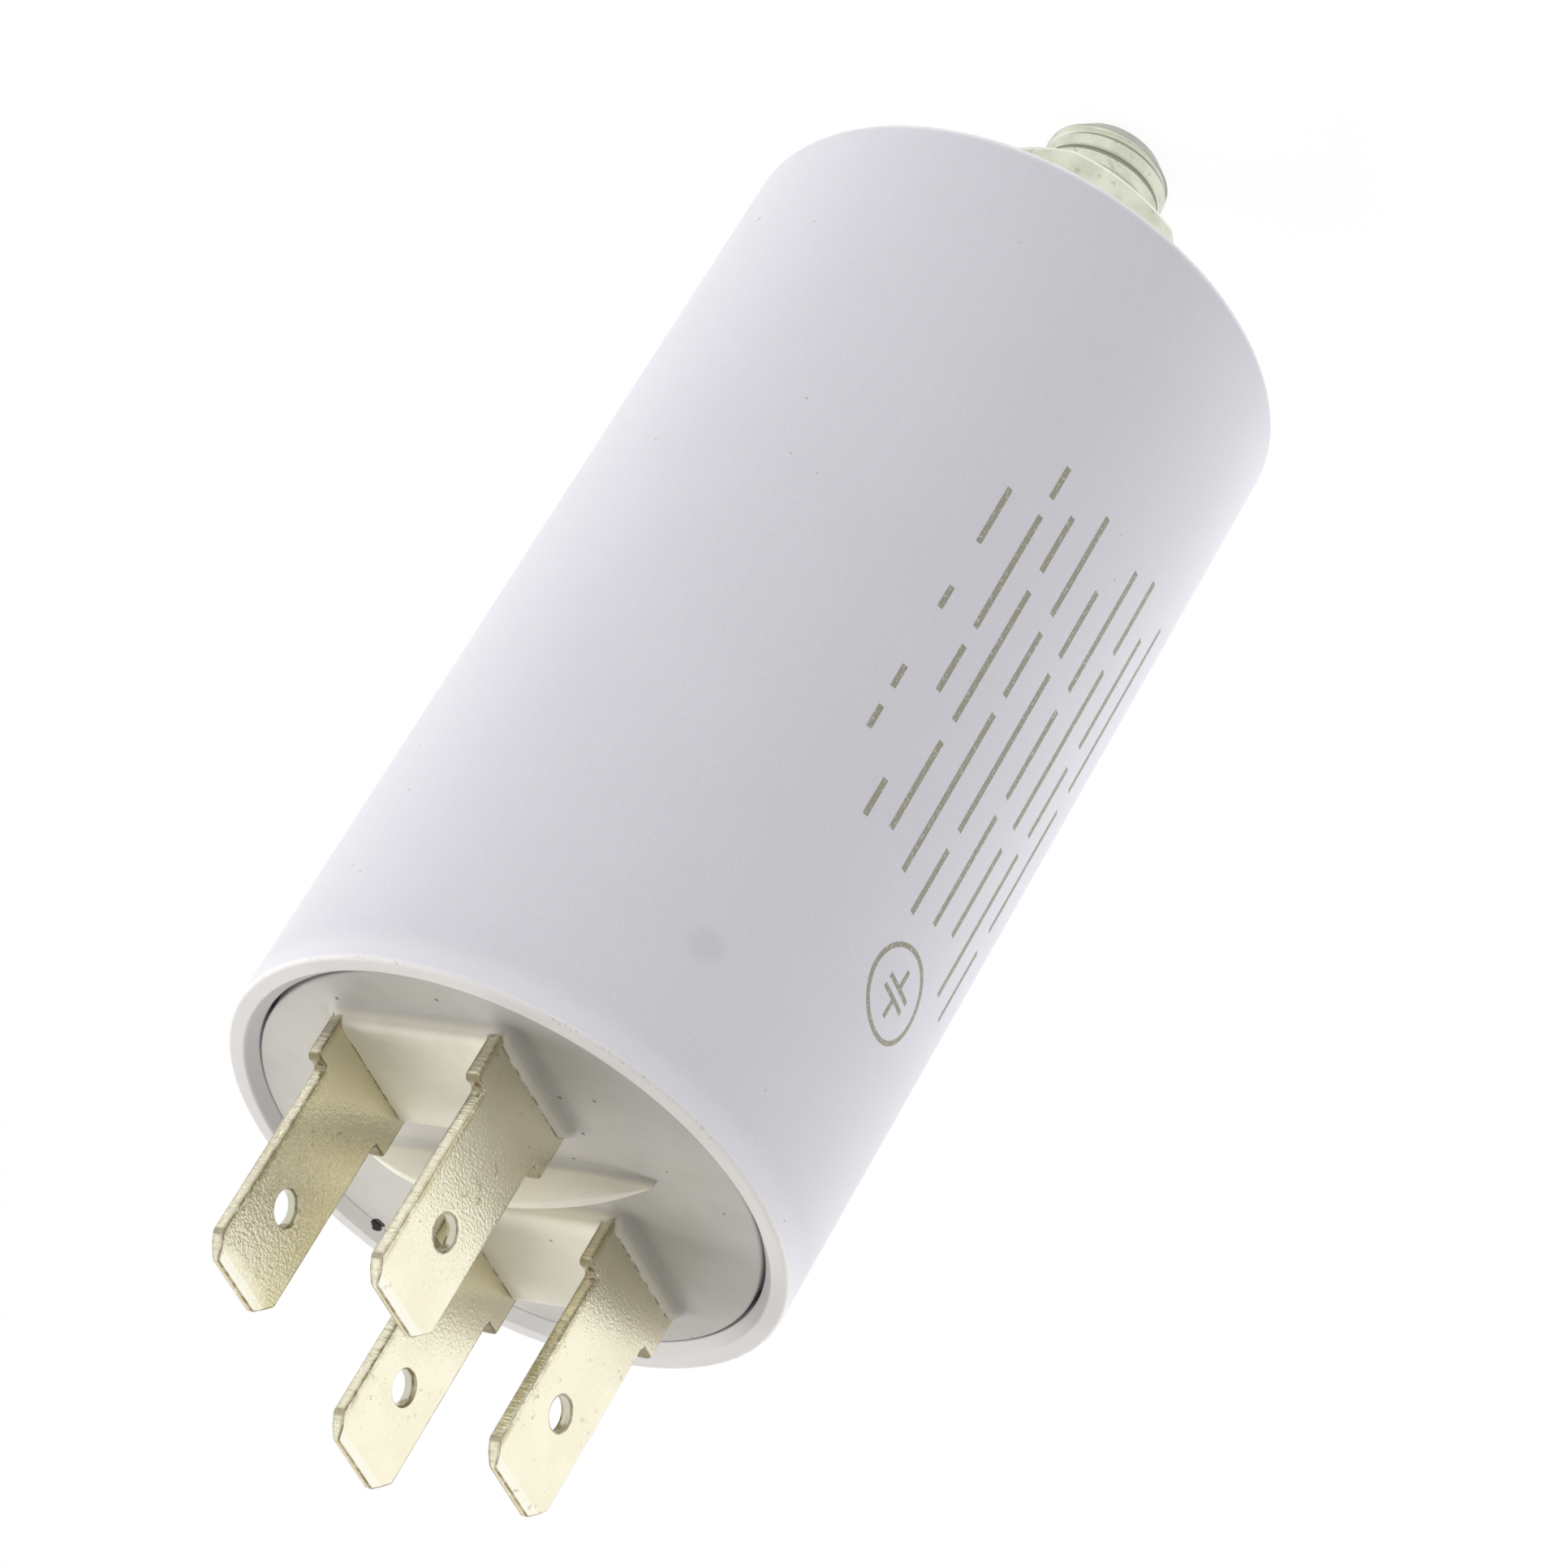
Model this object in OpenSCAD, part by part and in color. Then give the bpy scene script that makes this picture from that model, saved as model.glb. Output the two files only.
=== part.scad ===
// Motor-run film capacitor: a round plastic can with a fixing stud at its base,
// a recessed lid with paired push-on tabs, and a potted film winding inside.
// Millimetres. The can stands on its base at z = 0, the tabs point up along +Z
// and the stud points down.

/* [Can] */
// Outside diameter of the can
can_d = 34; // [33:0.5:50]
// Height of the can from its base to its rim
can_h = 65; // [50:1:120]
// Wall thickness below the lid's seat
can_wall = 2.4; // [2.1:0.1:3]
// Thickness of the base
can_base_t = 2.5; // [2:0.1:5]
// Radius on the outer edge of the base
can_base_edge_r = 0.7; // [0.2:0.1:1.5]
// Radius on the outer edge of the rim
rim_edge_r = 0.25; // [0.1:0.05:0.4]
// Bevel on the inner edge of the rim
rim_bevel = 0.65; // [0.3:0.05:0.8]

/* [Lid] */
// Thickness of the lid
lid_t = 2; // [1.5:0.1:4]
// Depth of the lid's floor below the rim
lid_recess = 0.6; // [0.3:0.1:2]
// Width of the ledge that the lid sits on
lid_seat_w = 0.75; // [0.6:0.05:1]
// Gap between the lid's edge and the can
lid_gap = 0.3; // [0.1:0.05:0.4]

/* [Tab bosses] */
// Height of the two bosses above the lid's floor
boss_h = 1.1; // [0.6:0.1:3]
// Boss beyond the outer faces of its tabs
boss_margin_x = 0.4; // [0.3:0.05:0.8]
// Boss beyond the edges of its tabs, which are flush with it at 0
boss_margin_y = 0; // [0:0.05:0.8]
// Corner radius of a boss in plan
boss_corner_r = 0.8; // [0.4:0.1:1.5]
// Bevel on the top edge of a boss
boss_edge = 0.3; // [0.1:0.05:0.5]

/* [Barrier] */
// Length of the barrier between the tab pairs
fin_l = 19.8; // [10:0.2:26]
// Height of the barrier at its middle, above the lid's floor
fin_h = 3.0; // [2:0.1:8]
// Height of the barrier at its ends, above the lid's floor
fin_end_h = 0.55; // [0.5:0.05:1.8]
// Thickness of the barrier at its foot
fin_foot_t = 0.9; // [0.7:0.1:1.6]
// Thickness of the barrier at its crest
fin_crest_t = 0.5; // [0.3:0.1:0.6]

/* [Terminals] */
// Width of a tab
tab_w = 6.3; // [4.8:0.1:7]
// Thickness of the tab sheet
tab_t = 0.8; // [0.5:0.1:1]
// Height of a tab above its boss
tab_h = 14.8; // [12:0.1:20]
// Distance between the two tabs of a pair
tab_pitch = 10.6; // [8:0.1:12]
// Distance between the two pairs
pair_pitch = 15.2; // [13:0.1:16]
// Width of a tab at its shoulders
shoulder_w = 8.45; // [7.6:0.05:8.6]
// Height of the shoulders above the boss
shoulder_h = 2.4; // [1:0.05:4]
// Radius where a tab leaves its shoulders
shoulder_fillet = 0.3; // [0.1:0.05:0.3]
// Diameter of the hole in a tab
tab_hole_d = 2; // [1.2:0.1:2.4]
// Distance of the hole's centre from the tip
tab_hole_drop = 5.4; // [3:0.1:7]
// Corner bevel at the tip, across the tab
tip_bevel_w = 1; // [0.5:0.1:2]
// Corner bevel at the tip, along the tab
tip_bevel_h = 1.2; // [0.5:0.1:2]
// Length of the thinned lead-in at the tip
lead_in_h = 0.6; // [0.3:0.1:1.5]
// Thickness taken off each face at the tip
lead_in_cut = 0.2; // [0.05:0.05:0.22]
// Inside radius of the bends under the lid
strap_bend_r = 0.4; // [0.2:0.1:1]
// Gap around a tab in its slot
slot_gap = 0.05; // [0.02:0.01:0.15]

/* [Stud] */
// Thread diameter of the stud
stud_d = 8; // [6:0.5:10]
// Thread pitch of the stud
thread_pitch = 1.25; // [1:0.25:1.5]
// Length of the stud below the base
stud_l = 15.1; // [13:0.1:30]
// Bevel at the end of the stud
stud_end_bevel = 1; // [0.5:0.1:1.5]
// Width across flats of the stud's head
head_af = 13; // [11:0.5:15]
// Height of the stud's head
head_h = 5.3; // [4.5:0.1:8]
// Depth of the socket that keeps the head from turning
socket_h = 4; // [2:0.1:4.4]
// Wall around the socket
socket_wall = 2; // [1:0.1:4]
// Gap between the head and its socket
socket_gap = 0.1; // [0.05:0.05:0.2]
// Gap between the stud and the hole in the base
stud_gap = 0.05; // [0.02:0.01:0.15]

/* [Nut and washers] */
// Width across flats of the nut
nut_af = 13; // [11:0.5:17]
// Height of the nut
nut_h = 6.5; // [5:0.1:8]
// Turn of the nut on the stud
nut_turn = 3; // [-30:1:30]
// Inset of the nut's flat faces from its sides
nut_face_inset = 0.3; // [0.1:0.1:0.5]
// Gap between a washer and the thread
washer_gap = 0.2; // [0.1:0.05:0.4]
// Outside diameter of the plain washer
plain_washer_d = 16; // [14:0.5:24]
// Thickness of the plain washer
plain_washer_t = 1.6; // [1:0.1:2.5]
// Outside diameter of the toothed lock washer
lock_washer_d = 15; // [14:0.5:18]
// Thickness of the lock washer's sheet
lock_washer_t = 0.8; // [0.5:0.1:1]
// Width of the lock washer's ring
lock_ring_w = 1.4; // [1:0.1:1.8]
// Number of teeth on the lock washer
lock_teeth = 10; // [6:1:12]
// Width of a tooth
lock_tooth_w = 2.4; // [1.6:0.1:2.6]
// Twist of a tooth
lock_twist = 8; // [4:1:30]

/* [Winding] */
// Outside diameter of the tube that the film is wound on
core_d = 6; // [4:0.5:10]
// Wall of that tube
core_wall = 1; // [0.5:0.1:1.5]
// Thickness of the sprayed metal on each end of the winding
spray_t = 0.6; // [0.3:0.1:1.2]
// Resin between the winding and the can
resin_side = 1.3; // [1.2:0.1:3]
// Resin between the stud's head and the winding
resin_below = 2.2; // [2:0.1:6]
// Resin between the winding and the terminals
resin_above = 6; // [4:0.1:12]
// Diameter of a lead
lead_d = 1; // [0.6:0.1:1.1]
// Bend radius of a lead
lead_bend_r = 1; // [0.8:0.1:1.2]
// Inset of the long lead's joint from the winding's edge
lead_inset = 3.5; // [3:0.1:6]

/* [Hidden] */
$fn = 96;
// Overlap of cutting shapes past the faces that they cut
cut = 1;
arc_steps = 10;

// Can and lid
can_r = can_d / 2;
cavity_r = can_r - can_wall;
mouth_r = cavity_r + lid_seat_w;
lid_r = mouth_r - lid_gap;
lid_top = can_h - lid_recess;
lid_bottom = lid_top - lid_t;
boss_top = lid_top + boss_h;
boss_l = tab_pitch + tab_t + 2 * boss_margin_x;
boss_w = shoulder_w + 2 * boss_margin_y;
fin_rise = fin_h - fin_end_h;
fin_arc_r = (pow(fin_l / 2, 2) + pow(fin_rise, 2)) / (2 * fin_rise);

// Terminals
tab_tip = boss_top + tab_h;
shoulder_top = boss_top + shoulder_h;
strap_bottom = lid_bottom - strap_bend_r - tab_t;

// Stud, nut and washers
stud_r = stud_d / 2;
// An ISO thread's pitch diameter lies 0.6495 pitches below its outside diameter
thread_pitch_r = stud_r - 0.6495 * thread_pitch / 2;
stud_hole_r = stud_r + stud_gap;
washer_hole_r = stud_r + washer_gap;
lock_washer_h = lock_tooth_w * sin(lock_twist) + lock_washer_t * cos(lock_twist);
lock_washer_top = -plain_washer_t;
nut_top = lock_washer_top - lock_washer_h;
nut_bottom = nut_top - nut_h;
socket_r = head_af / 2 / cos(30) + socket_gap + socket_wall;
head_top = can_base_t + head_h;

// Winding and leads
core_r = core_d / 2;
winding_r = cavity_r - resin_side;
stack_bottom = head_top + resin_below;
stack_top = strap_bottom - resin_above;
winding_bottom = stack_bottom + spray_t;
winding_top = stack_top - spray_t;
lead_y = pair_pitch / 2;
lead_side_y = winding_r + resin_side / 2;
lead_joint_y = winding_r - lead_inset;
lead_low_z = stack_bottom - lead_bend_r - lead_d / 2;
lead_high_z = strap_bottom - lead_bend_r - lead_d;

// Points along an arc about c, from angle a0 to a1
function arc(c, r, a0, a1) =
    [for (i = [0:arc_steps]) c + r * [cos(a0 + (a1 - a0) * i / arc_steps), sin(a0 + (a1 - a0) * i / arc_steps)]];

// Hexagonal prism by its width across flats, with a corner on +X
module hex_prism(across_flats, h) {
    cylinder(r = across_flats / 2 / cos(30), h = h, $fn = 6);
}

// Flat ring that stands on the plane z = 0
module ring(r_out, r_in, h) {
    difference() {
        cylinder(r = r_out, h = h);
        translate([0, 0, -cut])
            cylinder(r = r_in, h = h + 2 * cut);
    }
}

// Wall, base and head socket in one moulding, with a stepped mouth for the lid
module can() {
    section = concat(
        [[stud_hole_r, 0]],
        arc([can_r - can_base_edge_r, can_base_edge_r], can_base_edge_r, -90, 0),
        arc([can_r - rim_edge_r, can_h - rim_edge_r], rim_edge_r, 0, 90),
        [
            [mouth_r + rim_bevel, can_h],
            [mouth_r, can_h - rim_bevel],
            [mouth_r, lid_bottom],
            [cavity_r, lid_bottom],
            [cavity_r, can_base_t],
            [socket_r, can_base_t],
            [socket_r, can_base_t + socket_h],
            [stud_hole_r, can_base_t + socket_h]
        ]);
    color("whitesmoke")
        difference() {
            rotate_extrude()
                polygon(section);
            translate([0, 0, can_base_t])
                hex_prism(head_af + 2 * socket_gap, socket_h + cut);
        }
}

// Boss under one pair of tabs: a rounded block with bevelled top edges
module boss() {
    half_l = boss_l / 2;
    half_w = boss_w / 2;
    foot = lid_bottom;
    h = boss_top - foot;
    translate([0, 0, foot])
        intersection() {
            union() {
                translate([-half_l + boss_corner_r, -half_w, 0])
                    cube([boss_l - 2 * boss_corner_r, boss_w, h]);
                translate([-half_l, -half_w + boss_corner_r, 0])
                    cube([boss_l, boss_w - 2 * boss_corner_r, h]);
                for (sx = [-1, 1], sy = [-1, 1])
                    translate([sx * (half_l - boss_corner_r), sy * (half_w - boss_corner_r), 0])
                        cylinder(r = boss_corner_r, h = h);
            }
            rotate([90, 0, 0])
                linear_extrude(height = boss_w + cut, center = true)
                    bevelled_bar(half_l, h, boss_edge);
            rotate([90, 0, 90])
                linear_extrude(height = boss_l + cut, center = true)
                    bevelled_bar(half_w, h, boss_edge);
        }
}

// Section of a bar with its two top edges bevelled
module bevelled_bar(half, h, edge) {
    polygon([[-half, 0], [half, 0], [half, h - edge], [half - edge, h], [-half + edge, h], [-half, h - edge]]);
}

// Arched barrier along X, thinner at its crest than at its foot
module barrier() {
    fin_top = lid_top + fin_h;
    intersection() {
        rotate([90, 0, 0])
            linear_extrude(height = fin_foot_t, center = true)
                intersection() {
                    translate([0, fin_top - fin_arc_r])
                        circle(r = fin_arc_r, $fn = 4 * $fn);
                    translate([-fin_l / 2, lid_bottom])
                        square([fin_l, fin_top - lid_bottom]);
                }
        rotate([90, 0, 90])
            linear_extrude(height = fin_l, center = true)
                polygon([
                    [-fin_foot_t / 2, lid_bottom],
                    [fin_foot_t / 2, lid_bottom],
                    [fin_foot_t / 2, lid_top],
                    [fin_crest_t / 2, fin_top],
                    [-fin_crest_t / 2, fin_top],
                    [-fin_foot_t / 2, lid_top]
                ]);
    }
}

// Disc with two bosses and the barrier, slotted for the tabs
module lid() {
    slot = [tab_t + 2 * slot_gap, shoulder_w + 2 * slot_gap, boss_top - lid_bottom + 2 * cut];
    color("ivory")
        difference() {
            union() {
                translate([0, 0, lid_bottom])
                    cylinder(r = lid_r, h = lid_t);
                for (side = [-1, 1])
                    translate([0, side * pair_pitch / 2, 0])
                        boss();
                barrier();
            }
            for (sx = [-1, 1], side = [-1, 1])
                translate([sx * tab_pitch / 2 - slot.x / 2, side * pair_pitch / 2 - slot.y / 2, lid_bottom - cut])
                    cube(slot);
        }
}

// Strap seen along Y: two tabs with thinned tips, bent from one web under the lid
module strap_profile() {
    bend_x = tab_pitch / 2 - tab_t / 2 - strap_bend_r;
    half_t = tab_t / 2;
    translate([-bend_x, strap_bottom])
        square([2 * bend_x, tab_t]);
    for (sx = [-1, 1]) {
        translate([sx * tab_pitch / 2, 0])
            polygon([
                [-half_t, lid_bottom],
                [half_t, lid_bottom],
                [half_t, tab_tip - lead_in_h],
                [half_t - lead_in_cut, tab_tip],
                [-half_t + lead_in_cut, tab_tip],
                [-half_t, tab_tip - lead_in_h]
            ]);
        intersection() {
            translate([sx * bend_x, lid_bottom])
                difference() {
                    circle(r = strap_bend_r + tab_t);
                    circle(r = strap_bend_r);
                }
            translate([sx > 0 ? bend_x : -bend_x - strap_bend_r - tab_t, strap_bottom])
                square(strap_bend_r + tab_t);
        }
    }
}

// Strap seen along X: shoulders in the lid, a narrower tab above, bevelled tip corners
module strap_outline() {
    half_s = shoulder_w / 2;
    half_w = tab_w / 2;
    right = concat(
        [[half_s, strap_bottom], [half_s, shoulder_top]],
        arc([half_w + shoulder_fillet, shoulder_top + shoulder_fillet], shoulder_fillet, -90, -180),
        [[half_w, tab_tip - tip_bevel_h], [half_w - tip_bevel_w, tab_tip]]);
    last = len(right) - 1;
    polygon(concat(right, [for (i = [0:last]) [-right[last - i].x, right[last - i].y]]));
}

// Two tabs stamped and bent from one strip
module terminal(side) {
    color("lightgoldenrodyellow")
        translate([0, side * pair_pitch / 2, 0])
            difference() {
                intersection() {
                    rotate([90, 0, 0])
                        linear_extrude(height = shoulder_w, center = true)
                            strap_profile();
                    rotate([90, 0, 90])
                        linear_extrude(height = tab_pitch + tab_t, center = true)
                            strap_outline();
                }
                translate([0, 0, tab_tip - tab_hole_drop])
                    rotate([0, 90, 0])
                        cylinder(d = tab_hole_d, h = tab_pitch + tab_t + 2 * cut, center = true);
            }
}

module terminal_a() {
    terminal(1);
}

module terminal_b() {
    terminal(-1);
}

// Hexagon-headed stud: its thread is at pitch size inside the nut and at full size beyond it
module stud() {
    color("darkgray") {
        translate([0, 0, can_base_t])
            hex_prism(head_af, head_h);
        cylinder(r = stud_r, h = can_base_t);
        translate([0, 0, nut_bottom])
            cylinder(r = thread_pitch_r, h = -nut_bottom);
        translate([0, 0, -stud_l + stud_end_bevel])
            cylinder(r = stud_r, h = stud_l - stud_end_bevel + nut_bottom);
        translate([0, 0, -stud_l])
            cylinder(r1 = stud_r - stud_end_bevel, r2 = stud_r, h = stud_end_bevel);
    }
}

// Nut with bevelled corners and a countersunk thread at both faces
module hex_nut() {
    face_r = nut_af / 2 - nut_face_inset;
    // The bevels reach past the corners, so that the corners end in a clean curve
    reach_r = nut_af / 2 / cos(30) + cut;
    bevel_h = (reach_r - face_r) * tan(30);
    sink_h = stud_r - thread_pitch_r;
    color("gray")
        translate([0, 0, nut_bottom])
            rotate([0, 0, nut_turn])
                difference() {
                    intersection() {
                        hex_prism(nut_af, nut_h);
                        rotate([0, 0, 30])
                            rotate_extrude()
                                polygon([
                                    [0, 0],
                                    [face_r, 0],
                                    [reach_r, bevel_h],
                                    [reach_r, nut_h - bevel_h],
                                    [face_r, nut_h],
                                    [0, nut_h]
                                ]);
                    }
                    translate([0, 0, -cut])
                        cylinder(r = thread_pitch_r, h = nut_h + 2 * cut);
                    cylinder(r1 = stud_r, r2 = thread_pitch_r, h = sink_h);
                    translate([0, 0, nut_h - sink_h])
                        cylinder(r1 = thread_pitch_r, r2 = stud_r, h = sink_h);
                }
}

// Ring with teeth twisted so that their edges bite above and below it
module lock_washer() {
    tooth_l = lock_washer_d / 2 - washer_hole_r - lock_ring_w / 2;
    color("gray")
        translate([0, 0, lock_washer_top - lock_washer_h / 2]) {
            translate([0, 0, -lock_washer_t / 2])
                ring(washer_hole_r + lock_ring_w, washer_hole_r, lock_washer_t);
            for (i = [0:lock_teeth - 1])
                rotate([0, 0, 360 * i / lock_teeth])
                    translate([washer_hole_r + lock_ring_w / 2 + tooth_l / 2, 0, 0])
                        rotate([lock_twist, 0, 0])
                            cube([tooth_l, lock_tooth_w, lock_washer_t], center = true);
        }
}

module plain_washer() {
    color("silver")
        translate([0, 0, -plain_washer_t])
            ring(plain_washer_d / 2, washer_hole_r, plain_washer_t);
}

module winding_core() {
    color("ghostwhite")
        translate([0, 0, stack_bottom])
            ring(core_r, core_r - core_wall, stack_top - stack_bottom);
}

// All the turns of metallised film as one roll
module film_winding() {
    color("lightsteelblue")
        translate([0, 0, winding_bottom])
            ring(winding_r, core_r, winding_top - winding_bottom);
}

module sprayed_end_top() {
    color("slategray")
        translate([0, 0, winding_top])
            ring(winding_r, core_r, spray_t);
}

module sprayed_end_bottom() {
    color("slategray")
        translate([0, 0, stack_bottom])
            ring(winding_r, core_r, spray_t);
}

// Straight length of lead in the plane x = 0, between two points [y, z]
module lead_run(a, b) {
    d = b - a;
    translate([0, a.x, a.y])
        rotate([-atan2(d.x, d.y), 0, 0])
            cylinder(d = lead_d, h = norm(d));
}

// Quarter bend of lead in the plane x = 0 about c = [y, z], from angle a0 on
module lead_bend(c, a0) {
    translate([0, c.x, c.y])
        rotate([90, 0, 90])
            rotate([0, 0, a0])
                rotate_extrude(angle = 90)
                    translate([lead_bend_r, 0])
                        circle(d = lead_d);
}

// From the upper sprayed end straight up to the first terminal
module lead_short() {
    color("gold")
        lead_run([lead_y, stack_top], [lead_y, strap_bottom]);
}

// From the lower sprayed end, out and up beside the winding, then in to the second terminal
module lead_long() {
    r = lead_bend_r;
    color("gold") {
        lead_run([-lead_joint_y, lead_low_z + r], [-lead_joint_y, stack_bottom]);
        lead_bend([-lead_joint_y - r, lead_low_z + r], -90);
        lead_run([-lead_side_y + r, lead_low_z], [-lead_joint_y - r, lead_low_z]);
        lead_bend([-lead_side_y + r, lead_low_z + r], 180);
        lead_run([-lead_side_y, lead_low_z + r], [-lead_side_y, lead_high_z - r]);
        lead_bend([-lead_side_y + r, lead_high_z - r], 90);
        lead_run([-lead_side_y + r, lead_high_z], [-lead_y - r, lead_high_z]);
        lead_bend([-lead_y - r, lead_high_z + r], -90);
        lead_run([-lead_y, lead_high_z + r], [-lead_y, strap_bottom]);
    }
}

// Resin that fills the can up to the lid around everything inside
module potting_resin() {
    color("burlywood")
        difference() {
            translate([0, 0, can_base_t])
                cylinder(r = cavity_r, h = lid_bottom - can_base_t);
            translate([0, 0, can_base_t - cut])
                cylinder(r = socket_r, h = socket_h + cut);
            translate([0, 0, can_base_t])
                hex_prism(head_af, head_h);
            translate([0, 0, stack_bottom])
                ring(winding_r, core_r - core_wall, stack_top - stack_bottom);
            lead_short();
            lead_long();
            terminal_a();
            terminal_b();
        }
}

can();
lid();
terminal_a();
terminal_b();
stud();
hex_nut();
lock_washer();
plain_washer();
winding_core();
film_winding();
sprayed_end_top();
sprayed_end_bottom();
lead_short();
lead_long();
potting_resin();
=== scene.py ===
import math
import bpy
import numpy as np
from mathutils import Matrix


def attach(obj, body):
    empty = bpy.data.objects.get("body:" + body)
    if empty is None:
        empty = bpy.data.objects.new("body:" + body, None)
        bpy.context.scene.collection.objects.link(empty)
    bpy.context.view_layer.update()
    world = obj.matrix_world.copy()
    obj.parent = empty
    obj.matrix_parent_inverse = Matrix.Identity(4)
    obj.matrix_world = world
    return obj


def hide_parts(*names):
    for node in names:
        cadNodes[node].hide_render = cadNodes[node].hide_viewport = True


# Motor-run capacitor: white can, slotted lid with four push-on tabs, threaded stud with nut and washers.
# Shapes are worked out in millimetres and put into the meshes in metres.
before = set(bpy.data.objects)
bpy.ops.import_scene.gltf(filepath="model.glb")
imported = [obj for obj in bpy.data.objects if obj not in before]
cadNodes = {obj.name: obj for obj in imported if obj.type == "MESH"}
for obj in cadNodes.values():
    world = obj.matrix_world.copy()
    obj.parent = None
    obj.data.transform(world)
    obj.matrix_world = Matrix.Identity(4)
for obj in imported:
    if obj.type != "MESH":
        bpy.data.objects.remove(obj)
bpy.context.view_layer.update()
scene = bpy.context.scene
mm = 0.001
print("frame loaded:", len(cadNodes), "nodes")


# Camera: place and turn found from the can's outline and the tab holes.
view = dict(place=(0.213130, 0.233856, 0.231443), turn=(-54.0802, 25.9177, -24.3722), lens=151.909)
camera = bpy.data.objects.new("camera", bpy.data.cameras.new("camera"))
camera.location = view["place"]
camera.rotation_euler = [math.radians(a) for a in view["turn"]]
camera.data.lens = view["lens"]
camera.data.sensor_width = 36.0
camera.data.clip_start = 0.01
camera.data.clip_end = 50.0
scene.collection.objects.link(camera)
scene.camera = camera
scene.view_settings.view_transform = "Standard"
print("camera set")


# Rows and columns of points become quads, and the columns close on themselves. As a ring the rows
# close too, otherwise a fan about its middle closes each end row. Faces are turned to a positive volume.
def gridFaces(grid, ring):
    rows, cols = grid.shape[:2]
    at = np.arange(rows * cols).reshape(rows, cols)
    low, high = (at, np.roll(at, -1, 0)) if ring else (at[:-1], at[1:])
    quads = np.stack([low, np.roll(low, -1, 1), np.roll(high, -1, 1), high], -1).reshape(-1, 4)
    points = grid.reshape(-1, 3)
    fans = np.zeros((0, 3), int)
    if not ring:
        points = np.vstack([points, grid[0].mean(0), grid[-1].mean(0)])
        startFan = np.stack([np.roll(at[0], -1), at[0], np.full(cols, rows * cols)], -1)
        endFan = np.stack([at[-1], np.roll(at[-1], -1), np.full(cols, rows * cols + 1)], -1)
        fans = np.vstack([startFan, endFan])
    triangles = np.vstack([quads[:, [0, 1, 2]], quads[:, [0, 2, 3]], fans])
    a, b, c = (points[triangles[:, k]] - points.mean(0) for k in range(3))
    if (a * np.cross(b, c)).sum() < 0:
        quads, fans = quads[:, ::-1], fans[:, ::-1]
    return points, quads, fans


# One object from one or more grids; it rides on the part and may stand for CAD nodes.
def makePiece(name, grids, material, standsFor=(), sharpAngle=38):
    allPoints, allFaces, count = [], [], 0
    for grid, ring in grids:
        points, quads, fans = gridFaces(np.asarray(grid, float), ring)
        allPoints.append(points)
        allFaces += (quads + count).tolist() + (fans + count).tolist()
        count += len(points)
    mesh = bpy.data.meshes.new(name)
    mesh.from_pydata((np.vstack(allPoints) * mm).tolist(), [], allFaces)
    mesh.polygons.foreach_set("use_smooth", np.ones(len(allFaces), bool))
    mesh.set_sharp_from_angle(angle=math.radians(sharpAngle))
    mesh.materials.append(material)
    piece = bpy.data.objects.new(name, mesh)
    scene.collection.objects.link(piece)
    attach(piece, "root")
    if standsFor:
        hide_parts(*standsFor)
    print("piece", name, len(allFaces), "faces")
    return piece


# Closed outline with each corner rounded by its own radius: the arc touches both sides at
# radius / tan(half the corner's angle). A point stays a margin outside each arc, so that flats shade
# flat, and gaps wider than the spacing are divided. Also gives each point's place, counted in corners.
def roundedLoop(corners, radii, steps=6, margin=0.1, spacing=1e9):
    corners = np.asarray(corners, float)
    parts, middles, total = [], [], 0
    for i, radius in enumerate(radii):
        back = corners[i - 1] - corners[i]
        ahead = corners[(i + 1) % len(corners)] - corners[i]
        backLength, aheadLength = np.linalg.norm(back), np.linalg.norm(ahead)
        back, ahead = back / backLength, ahead / aheadLength
        half = 0.5 * math.acos(np.clip(back @ ahead, -1, 1))
        reach = radius / math.tan(half)
        if radius > 0:
            middle = corners[i] + (back + ahead) / np.linalg.norm(back + ahead) * radius / math.sin(half)
            start, end = corners[i] + back * reach - middle, corners[i] + ahead * reach - middle
            turn = math.atan2(start[0] * end[1] - start[1] * end[0], start @ end)
            angle = math.atan2(start[1], start[0]) + turn * np.linspace(0, 1, steps + 1)
            arc = middle + radius * np.stack([np.cos(angle), np.sin(angle)], -1)
        else:
            arc = corners[i : i + 1]
        before = corners[i] + back * min(reach + margin, backLength * 0.49)
        after = corners[i] + ahead * min(reach + margin, aheadLength * 0.49)
        part = np.vstack([before, arc, after])
        middles.append(total + len(part) // 2)
        total += len(part)
        parts.append(part)
    loop = np.vstack(parts)
    gap = np.linalg.norm(np.roll(loop, -1, 0) - loop, axis=1)
    along = np.concatenate([[0], np.cumsum(gap)])
    pieces = np.maximum(1, np.ceil(gap / spacing)).astype(int)
    inGap = np.arange(pieces.sum()) - np.repeat(np.cumsum(pieces) - pieces, pieces)
    fine = np.repeat(along[:-1], pieces) + inGap * np.repeat(gap / pieces, pieces)
    closed = np.vstack([loop, loop[:1]])
    points = np.stack([np.interp(fine, along, closed[:, k]) for k in range(2)], -1)
    knots = along[middles]
    knots = np.concatenate([[knots[-1] - along[-1]], knots, [knots[0] + along[-1]]])
    place = np.interp(fine, knots, np.arange(-1, len(corners) + 1))
    return points, place


# Corner positions read off at fractional places round the loop.
def atPlaces(corners, place):
    corners = np.asarray(corners, float)
    low = np.floor(place).astype(int)
    share = (place - low)[:, None]
    return corners[low % len(corners)] * (1 - share) + corners[(low + 1) % len(corners)] * share


def roundAngles(columns):
    return np.linspace(0, 2 * np.pi, columns, endpoint=False)


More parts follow.
